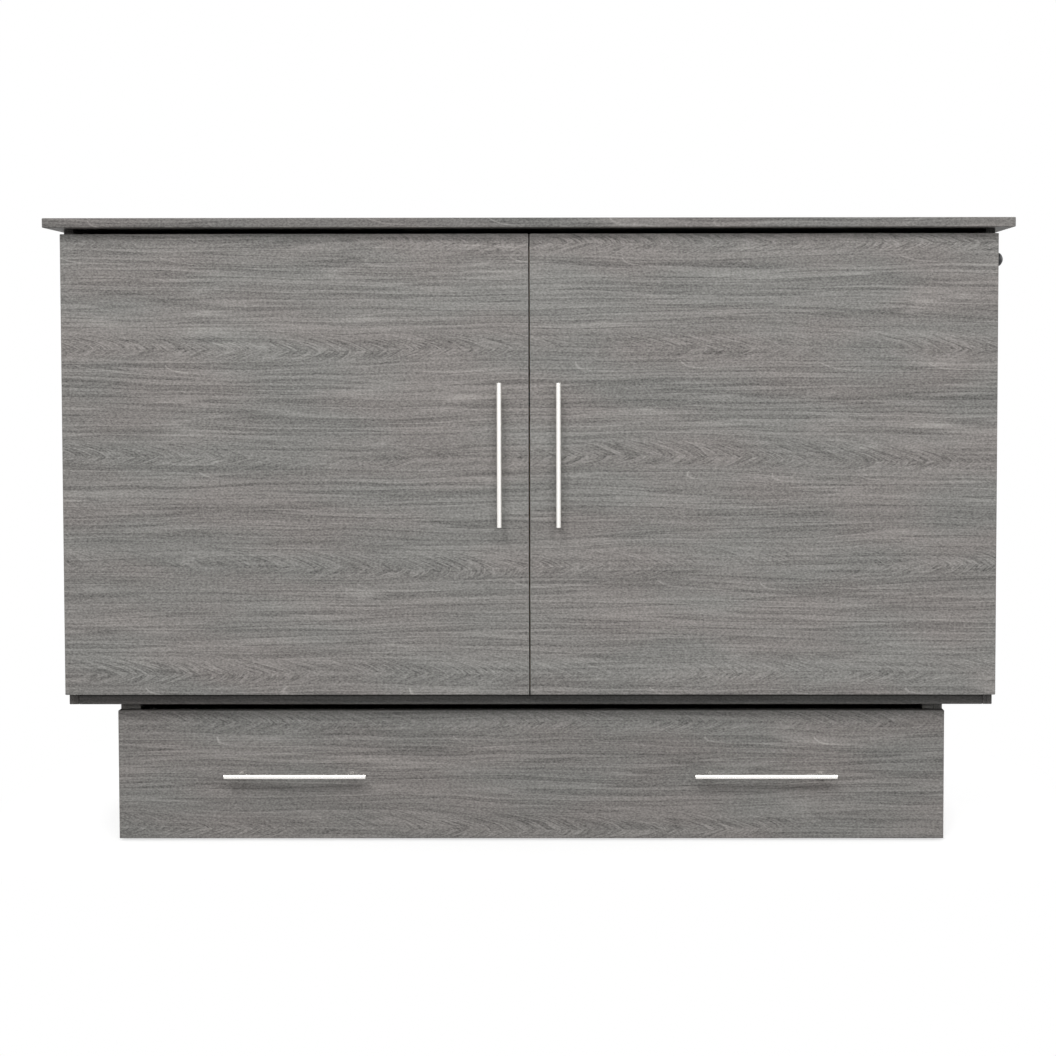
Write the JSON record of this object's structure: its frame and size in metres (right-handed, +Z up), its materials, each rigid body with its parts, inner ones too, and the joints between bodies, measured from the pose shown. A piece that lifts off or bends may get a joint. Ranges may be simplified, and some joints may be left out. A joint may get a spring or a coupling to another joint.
{
  "type": "cabinet bed",
  "caption": "Closed cabinet bed with an overhanging lift-up top, overlay doors with bar pulls, a roll-out drawer in a set-back plinth, and a folded deck and mattress inside.",
  "frame": {"origin": "on the floor, midway along the width, midway between the front of the door pulls and the back", "axes": "+Z up, the doors face -Y, +X to the right seen from the front"},
  "size_m": [1.638, 0.6194, 1.077],
  "materials": {
    "woodgrain_melamine": "satin",
    "cabinet_back_board": "matte",
    "inner_board": "matte",
    "brushed_pull": "brushed",
    "plated_hinge_steel": "plated",
    "screw_steel": "zinc plated",
    "black_plastic": "moulded",
    "painted_steel_tube": "powder coat",
    "slat_timber": "sanded",
    "mattress_cover": "knitted",
    "strap_webbing": "woven"
  },
  "bodies": {
    "cabinet": {"back_panel": "cabinet_back_board", "back_top_rail": "inner_board", "carcass_screws": "screw_steel", "deck_hinges": "plated_hinge_steel", "deck_legs": "painted_steel_tube", "door_catches": "black_plastic", "door_hinge_fixed_leaves": "plated_hinge_steel", "door_hinge_pins": "plated_hinge_steel", "floor_bearers": "inner_board", "floor_glides": "black_plastic", "floor_panel": "woodgrain_melamine", "foot_leaf_frame": "slat_timber", "foot_leaf_slats": "slat_timber", "head_deck_battens": "slat_timber", "head_deck_slats": "slat_timber", "latch_bush": "black_plastic", "latch_spring": "plated_hinge_steel", "left_side_panel": "woodgrain_melamine", "leg_pivots": "painted_steel_tube", "lid_hinge_fixed_leaf": "plated_hinge_steel", "lid_hinge_pin": "plated_hinge_steel", "mattress_foot_section": "mattress_cover", "mattress_head_section": "mattress_cover", "mattress_middle_section": "mattress_cover", "mattress_straps": "strap_webbing", "mid_leaf_frame": "slat_timber", "mid_leaf_slats": "slat_timber", "plinth_back_rail": "woodgrain_melamine", "plinth_sides": "woodgrain_melamine", "rear_top_strip": "woodgrain_melamine", "right_side_panel": "woodgrain_melamine"},
    "lid": {"lid_panel": "woodgrain_melamine", "lid_hinge_moving_leaf": "plated_hinge_steel", "lid_screws": "screw_steel"},
    "left_door": {"left_door_hinge_moving_leaves": "plated_hinge_steel", "left_door_panel": "woodgrain_melamine", "left_door_pull_bar": "brushed_pull", "left_door_pull_posts": "brushed_pull", "left_door_screws": "screw_steel", "left_door_strike": "plated_hinge_steel"},
    "right_door": {"right_door_hinge_moving_leaves": "plated_hinge_steel", "right_door_panel": "woodgrain_melamine", "right_door_pull_bar": "brushed_pull", "right_door_pull_posts": "brushed_pull", "right_door_screws": "screw_steel", "right_door_strike": "plated_hinge_steel"},
    "drawer": {"drawer_front": "woodgrain_melamine", "drawer_inner_front": "inner_board", "drawer_sides": "inner_board", "drawer_back": "inner_board", "drawer_bottom": "cabinet_back_board", "drawer_pull_bars": "brushed_pull", "drawer_pull_posts": "brushed_pull", "drawer_screws": "screw_steel", "wheel_brackets": "painted_steel_tube", "wheel_axles": "plated_hinge_steel"},
    "front_wheels": {"front_wheels": "black_plastic"},
    "rear_wheels": {"rear_wheels": "black_plastic"},
    "latch": {"latch_knob": "black_plastic", "latch_pin": "plated_hinge_steel"}
  },
  "joints": [
    {"name": "lid_lift", "type": "hinge", "parent": "cabinet", "child": "lid", "pos_m": [0, 0.21645, 1.0738], "axis": [-1, 0, 0], "range_deg": [0, 95]},
    {"name": "left_door_swing", "type": "hinge", "parent": "cabinet", "child": "left_door", "pos_m": [-0.7933, -0.2615, 0.66], "axis": [0, 0, -1], "range_deg": [0, 110]},
    {"name": "right_door_swing", "type": "hinge", "parent": "cabinet", "child": "right_door", "pos_m": [0.7933, -0.2615, 0.66], "axis": [0, 0, 1], "range_deg": [0, 110]},
    {"name": "drawer_slide", "type": "slide", "parent": "cabinet", "child": "drawer", "axis": [0, -1, 0], "range_m": [0, 0.42]},
    {"name": "front_wheels_roll", "type": "hinge", "parent": "drawer", "child": "front_wheels", "pos_m": [0, -0.15375, 0.02], "axis": [1, 0, 0], "continuous": true},
    {"name": "rear_wheels_roll", "type": "hinge", "parent": "drawer", "child": "rear_wheels", "pos_m": [0, 0.20925, 0.02], "axis": [1, 0, 0], "continuous": true},
    {"name": "latch_pull", "type": "slide", "parent": "cabinet", "child": "latch", "axis": [1, 0, 0], "range_m": [0, 0.0085], "stiffness_N_per_m": 400, "springref_m": -0.01, "deforming": ["latch_spring"]}
  ],
  "couplings": [
    {"joint": "front_wheels_roll", "follows": "drawer_slide", "rad_per_m": 50},
    {"joint": "rear_wheels_roll", "follows": "drawer_slide", "rad_per_m": 50}
  ]
}
